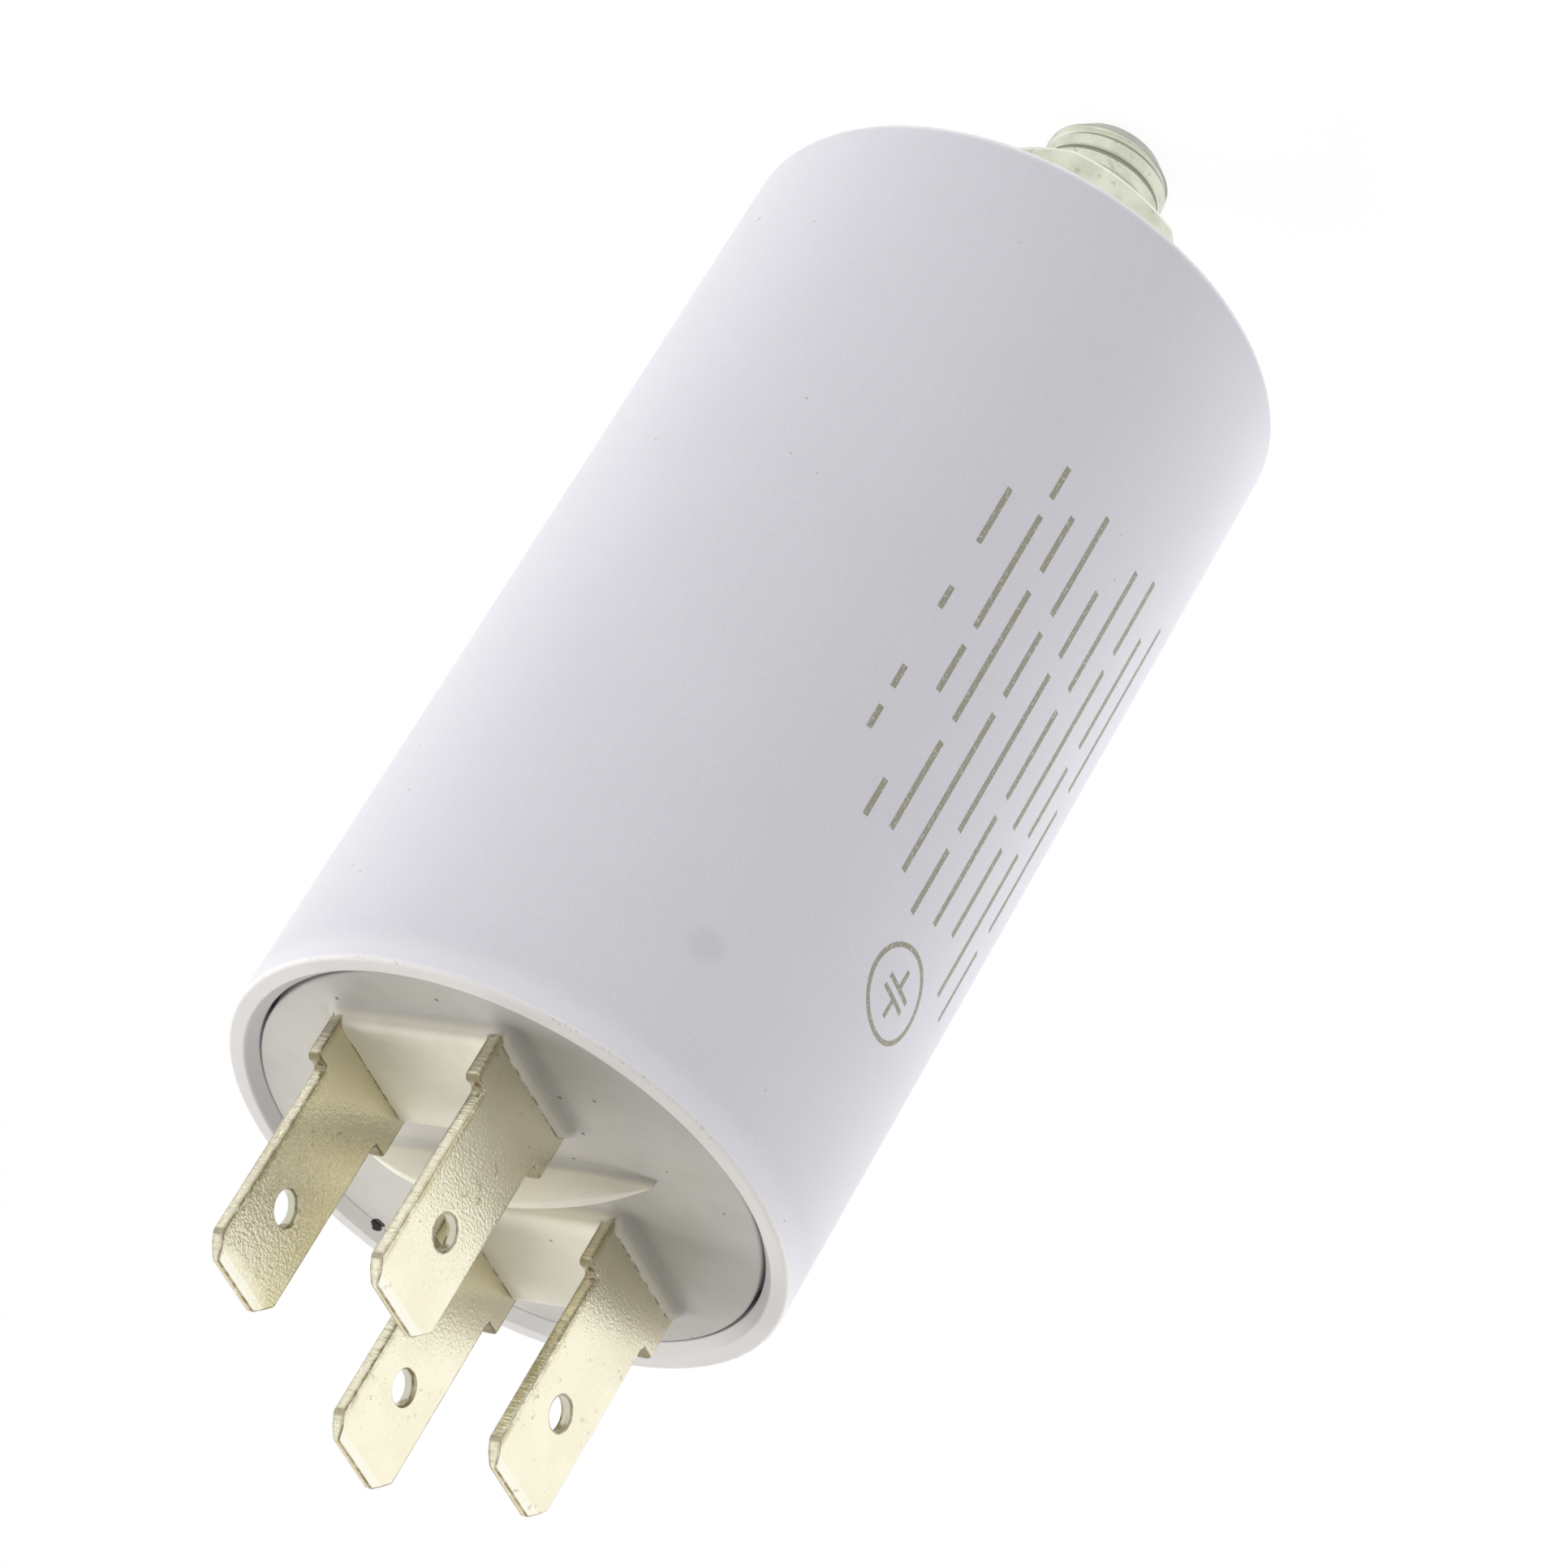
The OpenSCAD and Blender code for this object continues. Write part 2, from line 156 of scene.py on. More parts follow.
# Profile (radius, height) carried round the axis: x = r cos t, y = r sin t, z = h.
def turned(profile, columns):
    t = roundAngles(columns)
    r, h = profile[:, :1], profile[:, 1:]
    return np.stack([r * np.cos(t), r * np.sin(t), h + 0 * t], -1)


def startShader(name, values):
    material = bpy.data.materials.new(name)
    material.use_nodes = True
    tree = material.node_tree
    shader = tree.nodes["Principled BSDF"]
    for socket, value in values.items():
        shader.inputs[socket].default_value = value
    return material, shader, tree.nodes.new("ShaderNodeTexCoord").outputs["Object"]


def isSocket(value):
    return isinstance(value, bpy.types.NodeSocket)


# A node beside the one that a socket belongs to.
def nodeBeside(socket, kind):
    return socket.id_data.nodes.new(kind)


def feed(socket, value):
    if isSocket(value):
        socket.id_data.links.new(value, socket)
    else:
        socket.default_value = value


def calc(operation, *values):
    node = nodeBeside(next(v for v in values if isSocket(v)), "ShaderNodeMath")
    node.operation = operation
    for socket, value in zip(node.inputs, values):
        feed(socket, value)
    return node.outputs[0]


def plus(a, b):
    return calc("ADD", a, b)


def minus(a, b):
    return calc("SUBTRACT", a, b)


def times(product, *others):
    for value in others:
        product = calc("MULTIPLY", product, value)
    return product


def largest(most, *others):
    for value in others:
        most = calc("MAXIMUM", most, value)
    return most


def absolute(value):
    return calc("ABSOLUTE", value)


# Root of a squared plus b squared.
def hypotenuse(a, b):
    return calc("SQRT", plus(times(a, a), times(b, b)))


# How far a value without its sign is from a middle in millimetres.
def offMiddle(value, middle):
    return absolute(minus(absolute(value), middle * mm))


def vectorCalc(operation, a, b):
    node = nodeBeside(a, "ShaderNodeVectorMath")
    node.operation = operation
    feed(node.inputs[0], a)
    feed(node.inputs[1], b)
    isNumber = operation in ("LENGTH", "DISTANCE", "DOT_PRODUCT")
    return node.outputs["Value" if isNumber else "Vector"]


def splitAxes(where):
    node = nodeBeside(where, "ShaderNodeSeparateXYZ")
    feed(node.inputs[0], where)
    return [node.outputs[axis] for axis in "XYZ"]


# Distance from the can's axis.
def axisDistance(where):
    return vectorCalc("LENGTH", vectorCalc("MULTIPLY", where, (1, 1, 0)), (0, 0, 0))


# Distance from a place in millimetres.
def distanceTo(where, place):
    return vectorCalc("DISTANCE", where, tuple(v * mm for v in place))


# How far a point lies towards the side at an angle in degrees.
def toward(where, degrees):
    a = math.radians(degrees)
    return vectorCalc("DOT_PRODUCT", where, (math.cos(a), math.sin(a), 0))


# Soft step: 0 at low, 1 at high, either way round.
def softStep(value, low, high):
    node = nodeBeside(value, "ShaderNodeMapRange")
    node.interpolation_type = "SMOOTHSTEP"
    feed(node.inputs["Value"], value)
    rising = low < high
    ends = dict(zip(("From Min", "From Max"), sorted((low, high))))
    ends.update(zip(("To Min", "To Max"), (0.0, 1.0) if rising else (1.0, 0.0)))
    for socket, end in ends.items():
        node.inputs[socket].default_value = end
    return node.outputs["Result"]


# Soft step of a length, from 0 at the first to 1 at the second of two ends in millimetres.
def fade(value, ends):
    return softStep(value, ends[0] * mm, ends[1] * mm)


# Straight line from low to high outputs.
def span(value, low, high):
    node = nodeBeside(value, "ShaderNodeMapRange")
    feed(node.inputs["Value"], value)
    node.inputs["To Min"].default_value, node.inputs["To Max"].default_value = low, high
    return node.outputs["Result"]


# Noise with features of the given width in millimetres, one for all axes or one along each.
def grain(where, width, detail=2.0):
    node = nodeBeside(where, "ShaderNodeTexNoise")
    node.inputs["Scale"].default_value = 1.0
    node.inputs["Detail"].default_value = detail
    widths = width if isinstance(width, tuple) else (width,) * 3
    feed(node.inputs["Vector"], vectorCalc("MULTIPLY", where, tuple(1000.0 / w for w in widths)))
    return node.outputs["Fac"]


# Soft-edged patches: a soft step of the noise.
def patchy(where, width, low, high, detail=2.0):
    return softStep(grain(where, width, detail), low, high)


# Small dots: near a scattered point the mask is 1. Spread is the mean distance, radius the largest
# dot, in millimetres.
def specks(where, spread, radius):
    node = nodeBeside(where, "ShaderNodeTexVoronoi")
    node.inputs["Scale"].default_value = 1000.0 / spread
    feed(node.inputs["Vector"], where)
    return softStep(node.outputs["Distance"], radius / spread, 0.55 * radius / spread)


# One ragged dot: the distance from its place, shifted by noise, is under about 0.4 mm.
def raggedDot(where, place):
    shift = span(grain(where, 0.45), -0.25 * mm, 0.35 * mm)
    return fade(plus(distanceTo(where, place), shift), (0.42, 0.36))


def mixColour(share, first, second):
    node = nodeBeside(share, "ShaderNodeMix")
    node.data_type = "RGBA"
    feed(node.inputs[0], share)
    for socket, value in ((node.inputs[6], first), (node.inputs[7], second)):
        feed(socket, value if isSocket(value) else (*value, 1.0))
    return node.outputs[2]


# A coat over the colour so far: where the mask is 1, it covers by the given share.
def coat(colour, tone, mask, share=None):
    return mixColour(mask if share is None else times(mask, share), colour, tone)


def addBump(shader, height, depth):
    node = nodeBeside(height, "ShaderNodeBump")
    node.inputs["Strength"].default_value = 1.0
    node.inputs["Distance"].default_value = depth * mm
    feed(node.inputs["Height"], height)
    old = shader.inputs["Normal"].links
    if old:
        feed(node.inputs["Normal"], old[0].from_socket)
    feed(shader.inputs["Normal"], node.outputs["Normal"])


def dress(shader, colour, roughness):
    feed(shader.inputs["Base Color"], colour)
    feed(shader.inputs["Roughness"], roughness)


# Pairs are the two ends of a soft step in millimetres, and shares say how far a coat covers.
canFinish = dict(
    light=(0.735, 0.727, 0.780), dull=(0.692, 0.684, 0.735), nearRimLight=(0.800, 0.790, 0.840),
    rim=(0.965, 0.932, 0.915), bevel=(0.665, 0.650, 0.675), paintLitBevel=(0.96, 0.94, 0.95),
    baseEdge=(0.96, 0.95, 0.97), scuff=(0.40, 0.34, 0.27), dust=(0.30, 0.28, 0.27), speck=(0.02, 0.017, 0.02),
    nearRimLightFrom=(62.4, 64.5), rimFrom=(64.6, 64.95), baseEdgeFrom=(0.75, 0.30),
    mouthRadius=(16.03, 15.85), mouthFrom=(64.2, 64.4), paintLitSide=-112.0, paintLitFrom=(5.0, 13.0),
    rimCorner=(17.0, 65.0), rimScuff=(0.30, 0.06), rimShare=0.6,
    baseCorner=(16.85, 0.15), baseScuff=(0.5, 0.1), baseShare=0.5,
    smudgeAt=(13.47, 10.37, 56.32), smudgeSize=(1.6, 0.4), smudgeShare=0.13,
    markAt=(-7.54, 15.24, 6.78), markSize=(0.26, 0.1), markShare=0.8, dustShare=0.6,
    speckAt=(-13.28, -7.86, 64.42), cloudWidth=11.0, cloudShare=0.35, grainWidth=0.16, grainShare=0.65,
    grainDepth=0.008, swellWidth=9.0, swellDepth=0.03, roughness=(0.30, 0.44))


# Satin white moulding with a fine grain, scuffed along the rim and the base's edge; painted light near
# the rim, on the rim and along the base's edge, and painted shade in the mouth's bevel, lighter on one side.
def satinWhite():
    f = canFinish
    material, shader, where = startShader("satin_white", {"Specular IOR Level": 0.5, "IOR": 1.5})
    height = splitAxes(where)[2]
    radius = axisDistance(where)
    clouds = times(patchy(where, f["cloudWidth"], 0.3, 0.7), f["cloudShare"])
    fine = patchy(where, f["grainWidth"], 0.25, 0.75, 1.0)
    colour = mixColour(plus(clouds, times(fine, f["grainShare"])), f["dull"], f["light"])
    # Painted light near the rim and along the base's edge; the rim is partly its whiter moulding, partly
    # painted light on its upward face.
    for tone in ("nearRimLight", "rim", "baseEdge"):
        colour = coat(colour, f[tone], fade(height, f[tone + "From"]))
    # Painted shade in the mouth's bevel, lighter towards one side as painted light.
    inMouth = times(fade(radius, f["mouthRadius"]), fade(height, f["mouthFrom"]))
    paintLit = fade(toward(where, f["paintLitSide"]), f["paintLitFrom"])
    colour = coat(colour, mixColour(paintLit, f["bevel"], f["paintLitBevel"]), inMouth)
    dashes = times(patchy(where, 0.20, 0.54, 0.70, 3.0), patchy(where, 4.5, 0.48, 0.62))
    for edge in ("rim", "base"):
        edgeRadius, edgeHeight = (v * mm for v in f[edge + "Corner"])
        fromEdge = hypotenuse(minus(radius, edgeRadius), minus(height, edgeHeight))
        scuff = times(fade(fromEdge, f[edge + "Scuff"]), dashes)
        colour = coat(colour, f["scuff"], scuff, f[edge + "Share"])
    smudge = fade(distanceTo(where, f["smudgeAt"]), f["smudgeSize"])
    colour = coat(colour, f["dust"], smudge, f["smudgeShare"])
    mark = fade(distanceTo(where, f["markAt"]), f["markSize"])
    dots = largest(specks(where, 3.0, 0.10), times(mark, f["markShare"]))
    colour = coat(colour, f["dust"], dots, f["dustShare"])
    colour = coat(colour, f["speck"], raggedDot(where, f["speckAt"]))
    dress(shader, colour, span(fine, *f["roughness"]))
    addBump(shader, grain(where, f["grainWidth"]), f["grainDepth"])
    addBump(shader, grain(where, f["swellWidth"]), f["swellDepth"])
    return material


lidFinish = dict(
    raised=(0.985, 0.945, 0.813), floor=(0.605, 0.583, 0.545), pale=(0.800, 0.774, 0.727),
    slope=(0.50, 0.45, 0.33), shade=(0.34, 0.325, 0.295), dirt=(0.17, 0.14, 0.09),
    dust=(0.14, 0.12, 0.10), speck=(0.02, 0.017, 0.02), paleSide=-165.0, paleFrom=(-4.0, 13.0),
    floorHeight=64.4, raisedFrom=(64.45, 65.0), slopeFrom=(64.45, 64.75), slopeTo=(65.42, 65.10),
    bossesFrom=(1.4, 2.2), slopeShare=0.30, cloudWidth=3.5, cloudShare=0.10,
    slot=(5.3, 7.6), slotHalf=(0.4, 4.225), slotLine=(0.12, 0.02),
    wallFrom=(5.93, 6.05), wallTo=(7.6, 6.05), wallEnds=(0.5, -0.6), wallShadeShare=0.32,
    blackAt=(-12.98, -7.62, 64.4), dustShare=0.75, dotSize=(0.16, 0.07), dotShare=0.8,
    dotsAt=[(-5.3, 12.5), (1.9, 13.45), (6.5, 6.35), (8.8, 6.4), (6.6, 3.4)], roughness=(0.34, 0.48))


# Cream-white moulding with dust on its floor and a dark line round each tab's slot. Its floor is painted
# darker as shade, its raised tops and one side of the floor lighter as painted light, and painted shade
# lies on the bosses' slopes and beside them.
def creamPlastic():
    f = lidFinish
    material, shader, where = startShader("cream_plastic", {"Specular IOR Level": 0.5, "IOR": 1.5})
    x, y, z = splitAxes(where)
    # The floor is painted darker as shade and lighter towards one side, and the raised tops lighter, as
    # painted light.
    pale = fade(toward(where, f["paleSide"]), f["paleFrom"])
    floor = mixColour(pale, f["floor"], f["pale"])
    colour = coat(floor, f["raised"], fade(z, f["raisedFrom"]))
    # Painted shade on the bosses' slopes.
    onSlope = times(fade(z, f["slopeFrom"]), fade(z, f["slopeTo"]), fade(absolute(y), f["bossesFrom"]))
    colour = coat(colour, f["slope"], onSlope, f["slopeShare"])
    clouds = patchy(where, f["cloudWidth"], 0.42, 0.75, 3.0)
    colour = coat(colour, f["dirt"], clouds, f["cloudShare"])
    pastX, pastY = (minus(offMiddle(axis, middle), half * mm)
                    for axis, middle, half in zip((x, y), f["slot"], f["slotHalf"]))
    broken = span(patchy(where, 0.7, 0.42, 0.62, 3.0), 0.2, 0.9)
    colour = coat(colour, f["dirt"], fade(largest(pastX, pastY), f["slotLine"]), broken)
    # Painted shade on the floor and wall beside each boss's long sides.
    sideways = absolute(x)
    besideBoss = times(fade(sideways, f["wallFrom"]), fade(sideways, f["wallTo"]), fade(pastY, f["wallEnds"]))
    colour = coat(colour, f["shade"], besideBoss, f["wallShadeShare"])
    dots = times(specks(where, 2.6, 0.12), f["dustShare"])
    for place in f["dotsAt"]:
        dot = fade(distanceTo(where, (*place, f["floorHeight"])), f["dotSize"])
        dots = largest(dots, times(dot, f["dotShare"]))
    colour = coat(colour, f["dust"], dots)
    colour = coat(colour, f["speck"], raggedDot(where, f["blackAt"]))
    dress(shader, colour, span(grain(where, 0.7), *f["roughness"]))
    addBump(shader, grain(where, 0.3, 3.0), 0.008)
    addBump(shader, grain(where, 5.0), 0.04)
    return material


tabFinish = dict(
    light=(0.995, 0.955, 0.750), dull=(0.945, 0.900, 0.692), root=(0.690, 0.648, 0.495),
    stain=(0.42, 0.36, 0.19), pit=(0.17, 0.15, 0.10), shear=(0.42, 0.39, 0.27), line=(0.20, 0.165, 0.095),
    tip=(0.74, 0.65, 0.40), leadIn=(1.0, 0.985, 0.87), wall=(0.56, 0.54, 0.44), olive=(0.52, 0.47, 0.27),
    middle=(5.3, 7.6), half=(0.4, 3.15), shoulderFrom=(67.90, 67.82), notchHeight=67.86, shoulderOut=1.075,
    tipHeight=80.3, thinFrom=79.7, cut=(1.0, 1.2), holeHeight=74.9, holeFrom=(1.06, 1.03), holeLine=1.07,
    edge=(0.05, 0.015), shearShare=(0.22, 0.50), rootFrom=(72.3, 66.5), rootShare=0.75, shadedTabShare=0.30,
    tipShare=0.9, leadInHighlightFrom=(0.04, 0.07), leadInHighlightShare=0.8, rollShadeFrom=(0.55, 0.12), rollShadeShare=0.85,
    glintFrom=(67.0, 70.5), glintShare=0.85, spotShare=0.55, wallShadeShare=0.85, rollPlace=0.60, rollShare=0.6,
    cornerLine=(0.12, 0.065), rimLine=(0.07, 0.02), rimShare=0.9, cutEndShade=(0.30, 0.12), cutEndShadeShare=0.75,
    lineShare=0.85, notch=(0.30, 0.16), notchFrom=(3.09, 3.21), notchShadeShare=0.8, stainShare=0.5, pitShare=0.75,
    roughness=(0.10, 0.24), hammer=(3.0, 0.20, 0.17), hammerDepth=0.026)


# Tin plate: hammered along its width, drawn across its sheared edges, with stains, scratches and pits.
def tinPlate():
    f = tabFinish
    material, shader, where = startShader("tin_plate", {"Metallic": 1.0})
    x, y, z = splitAxes(where)
    halfThin, halfWide = (v * mm for v in f["half"])
    cutAcross, cutAlong = (v * mm for v in f["cut"])
    tipHeight = f["tipHeight"] * mm

    # Distances from the blade's sides, tip and cut corners; the nearest of them is its outline.
    across, along = offMiddle(x, f["middle"][0]), offMiddle(y, f["middle"][1])
    wide = plus(times(fade(z, f["shoulderFrom"]), f["shoulderOut"] * mm), halfWide)
    fromSide = minus(wide, along)
    fromTip = minus(tipHeight, z)
    pastCut = plus(calc("DIVIDE", minus(halfWide, along), cutAcross), calc("DIVIDE", fromTip, cutAlong))
    fromCut = times(minus(pastCut, 1.0), 1.0 / math.hypot(1 / cutAcross, 1 / cutAlong))
    fromOutline = calc("MINIMUM", calc("MINIMUM", fromSide, fromTip), fromCut)
    onEdge = fade(fromOutline, f["edge"])

    # Half the thickness, which falls to half of itself at the tip.
    thinning = calc("DIVIDE", minus(z, f["thinFrom"] * mm), tipHeight - f["thinFrom"] * mm)
    thinning = calc("MINIMUM", largest(thinning, 0.0), 1.0)
    halfThick = times(minus(2.0, thinning), 0.5 * halfThin)

    colour = mixColour(patchy(where, 2.6, 0.35, 0.7, 3.0), f["dull"], f["light"])
    # Painted dark reflection, darker towards the root and over the whole of one tab.
    colour = coat(colour, f["root"], fade(z, f["rootFrom"]), f["rootShare"])
    onShadedTab = times(fade(x, (0.0, -1.0)), fade(y, (0.0, 1.0)))
    colour = coat(colour, f["root"], onShadedTab, f["shadedTabShare"])
    strokes = patchy(where, (1.2, 3.0, 0.12), 0.45, 0.65)
    colour = coat(colour, f["shear"], onEdge, span(strokes, *f["shearShare"]))
    onTip = times(onEdge, fade(fromTip, f["edge"]))
    colour = coat(colour, f["tip"], onTip, f["tipShare"])
    # Painted highlight on the lead-in at the tip.
    leadInHighlight = times(softStep(thinning, 0.0, 0.06), fade(fromOutline, f["leadInHighlightFrom"]))
    colour = coat(colour, f["leadIn"], leadInHighlight, f["leadInHighlightShare"])

    # An olive band of painted dark reflection along the rolled side, then painted glints and dark stain spots
    # on the face.
    middleY = times(calc("SIGN", y), f["middle"][1] * mm)
    fromRoll = minus(wide, minus(y, middleY))
    uneven = span(patchy(where, 0.9, 0.35, 0.6, 3.0), 0.35, 0.95)
    rollShade = times(fade(fromRoll, f["rollShadeFrom"]), uneven, minus(1.0, onEdge))
    colour = coat(colour, f["olive"], rollShade, f["rollShadeShare"])
    glintZone = times(fade(z, f["glintFrom"]), patchy(where, 2.4, 0.36, 0.56))
    glints = times(patchy(where, 0.19, 0.55, 0.60), glintZone)
    colour = coat(colour, f["light"], glints, f["glintShare"])
    colour = coat(colour, f["stain"], specks(where, 0.62, 0.05), f["spotShare"])

    # Dark lines where the roll starts, at the corners and round the hole; painted dark reflection at the ends
    # of each cut and in the shoulders' notches.
    fromHole = hypotenuse(along, minus(z, f["holeHeight"] * mm))
    # Painted shade on the hole's wall.
    colour = coat(colour, f["wall"], fade(fromHole, f["holeFrom"]), f["wallShadeShare"])
    offRoll = absolute(minus(calc("DIVIDE", across, halfThick), f["rollPlace"]))
    rollStart = times(onEdge, softStep(offRoll, 0.12, 0.03), f["rollShare"])
    fromCorner = hypotenuse(fromOutline, minus(halfThick, across))
    rimLine = times(fade(absolute(minus(fromHole, f["holeLine"] * mm)), f["rimLine"]), f["rimShare"])
    broken = span(patchy(where, 0.5, 0.38, 0.60, 3.0), 0.60, 1.0)
    drawn = largest(rollStart, fade(fromCorner, f["cornerLine"]), rimLine)
    # Painted dark reflection at the ends of each cut.
    fromCutEnd = hypotenuse(fromSide, minus(z, tipHeight - cutAlong))
    cutEndShade = times(onEdge, fade(fromCutEnd, f["cutEndShade"]), f["cutEndShadeShare"])
    colour = coat(colour, f["line"], largest(times(drawn, broken), cutEndShade), f["lineShare"])
    # Painted dark reflection in the shoulders' notches.
    offNotch = absolute(minus(z, f["notchHeight"] * mm))
    notchShade = times(fade(offNotch, f["notch"]), fade(along, f["notchFrom"]))
    colour = coat(colour, f["line"], notchShade, f["notchShadeShare"])

    stain = times(patchy(where, 0.5, 0.60, 0.70, 4.0), patchy(where, 3.5, 0.5, 0.62))
    colour = coat(colour, f["stain"], stain, f["stainShare"])
    colour = coat(colour, f["pit"], specks(where, 1.7, 0.075), f["pitShare"])
    dress(shader, colour, span(grain(where, 0.8, 3.0), *f["roughness"]))
    addBump(shader, grain(where, f["hammer"]), f["hammerDepth"])
    addBump(shader, grain(where, (0.8, 2.0, 2.4)), 0.012)
    addBump(shader, patchy(where, (3.0, 0.10, 2.2), 0.68, 0.73, 1.0), 0.004)
    return material


zincFinish = dict(
    light=(0.74, 0.76, 0.625), dull=(0.615, 0.635, 0.52), paintedHighlight=(0.88, 0.89, 0.80),
    end=(0.31, 0.322, 0.275), stain=(0.34, 0.33, 0.22), shade=(0.20, 0.205, 0.16),
    stainShare=0.45, groove=(3.97, 3.87), root=(3.80, 3.74), rootDeeper=0.10, deeperFrom=(-13.10, -12.80),
    shadeShare=0.8, endDarkReflectionFrom=(-13.82, -13.98), endDarkReflectionShare=0.85,
    nutFace=(6.45, -9.226), nutBevel=30.0, nutEdge=(0.24, 0.08), nutFrom=(5.6, 5.8), roughness=(0.22, 0.42))


# Zinc plate: greenish grey and a little cloudy, with painted highlight in the grooves and on the nut's edge,
# painted shade at the thread's root and a painted dark reflection on the stud's end.
def zincPlate():
    f = zincFinish
    material, shader, where = startShader("zinc_plate", {"Metallic": 1.0})
    z, radius = splitAxes(where)[2], axisDistance(where)
    colour = mixColour(patchy(where, 1.8, 0.32, 0.68, 3.0), f["dull"], f["light"])
    colour = coat(colour, f["stain"], patchy(where, 0.6, 0.60, 0.72, 4.0), f["stainShare"])
    faceRadius, faceHeight = (v * mm for v in f["nutFace"])
    bevel = times(minus(radius, faceRadius), math.tan(math.radians(f["nutBevel"])))
    overBevel = minus(minus(z, faceHeight), bevel)
    nutEdge = times(fade(overBevel, f["nutEdge"]), fade(radius, f["nutFrom"]))
    # Painted highlight in the grooves and on the nut's edge.
    colour = coat(colour, f["paintedHighlight"], largest(fade(radius, f["groove"]), nutEdge))
    # Painted shade at the thread's root, wider away from the end.
    deeper = times(fade(z, f["deeperFrom"]), f["rootDeeper"] * mm)
    inRoot = fade(minus(radius, deeper), f["root"])
    colour = coat(colour, f["shade"], inRoot, f["shadeShare"])
    # Painted dark reflection on the stud's end.
    colour = coat(colour, f["end"], fade(z, f["endDarkReflectionFrom"]), f["endDarkReflectionShare"])
    dress(shader, colour, span(grain(where, 0.7, 3.0), *f["roughness"]))
    addBump(shader, grain(where, (0.5, 0.5, 0.12)), 0.008)
    return material


inkFinish = dict(ink=(0.345, 0.325, 0.255), thin=(0.56, 0.55, 0.53), roughness=(0.55, 0.45))


# Olive-grey ink, thin and broken in places.
def oliveInk():
    f = inkFinish
    material, shader, where = startShader("olive_ink", {"Specular IOR Level": 0.35})
    broken = patchy(where, 0.16, 0.54, 0.68, 3.0)
    colour = mixColour(broken, f["ink"], f["thin"])
    dress(shader, colour, span(broken, *f["roughness"]))
    return material


# Hidden pieces: two tones of one material mixed by a noise that is stretched along the piece.
def plainFinish(name, light, dull, metallic, roughness, width, depth):
    material, shader, where = startShader(name, {"Metallic": metallic})
    tone = grain(where, width, 3.0)
    colour = mixColour(softStep(tone, 0.3, 0.7), dull, light)
    dress(shader, colour, span(tone, roughness - 0.08, roughness + 0.08))
    addBump(shader, tone, depth)
    return material


satin, cream, tin, zinc, ink = satinWhite(), creamPlastic(), tinPlate(), zincPlate(), oliveInk()
print("finishes made")


canSize = dict(
    radius=17.0, height=65.0, baseEdge=0.7, rimEdge=0.25, mouth=15.35, bevel=0.65, seat=62.4, cavity=14.6,
    base=2.5, socketOut=9.6, socketIn=7.62, socketTop=6.5, hole=4.05, columns=320)


# The can's section as a closed loop of (radius, height), each corner with its rounding, turned about
# the axis.
def canGrid():
    s = canSize
    section = [
        (s["hole"], 0, 0.15), (s["radius"], 0, s["baseEdge"]), (s["radius"], s["height"], s["rimEdge"]),
        (s["mouth"] + s["bevel"], s["height"], 0.10), (s["mouth"], s["height"] - s["bevel"], 0.10),
        (s["mouth"], s["seat"], 0.05), (s["cavity"], s["seat"], 0.05), (s["cavity"], s["base"], 0.3),
        (s["socketOut"], s["base"], 0.2), (s["socketOut"], s["socketTop"], 0.1),
        (s["socketIn"], s["socketTop"], 0.1), (s["socketIn"], s["base"], 0.05), (s["hole"], s["base"], 0.05)]
    loop, _ = roundedLoop([c[:2] for c in section], [c[2] for c in section])
    return turned(loop, s["columns"])


makePiece("can_shell", [(canGrid(), True)], satin, ["can"])


lidSize = dict(
    radius=15.29, gap=0.19, gapSides=(124.0, -32.0), gapSharpness=14.0, bottom=62.4, top=64.4,
    middle=0.5, lowEdge=0.1, edge=0.18, columns=256)
bossSize = dict(
    halfX=5.96, halfY=4.27, offset=7.6, corner=0.85, top=65.5, outward=0.45, inward=0.30,
    edge=0.65, foot=0.55, footReach=0.9, topReach=0.80, sink=0.3, cornerSteps=9)
barrierSize = dict(
    halfLength=9.8, rise=3.0, endRise=0.45, halfFoot=0.45, halfCrest=0.22, rows=81, endTaper=4.6, endRows=21,
    leastPlan=0.06)


# A disc that stands off the can's mouth at two sides: its radius falls there by
# gap * exp(sharpness * (cos(t - side) - 1)).
def lidGrid():
    s = lidSize
    inner, outer, low, high = s["middle"], s["radius"], s["bottom"], s["top"]
    corners = [(inner, low), (outer, low), (outer, high), (inner, high)]
    loop, _ = roundedLoop(corners, [0, s["lowEdge"], s["edge"], 0], steps=5)
    grid = turned(loop[1:-1], s["columns"])
    t = np.arctan2(grid[..., 1], grid[..., 0])
    opening = sum(np.exp(s["gapSharpness"] * (np.cos(t - math.radians(a)) - 1)) for a in s["gapSides"])
    grid[..., :2] *= 1 - s["gap"] / s["radius"] * opening[..., None]
    return grid


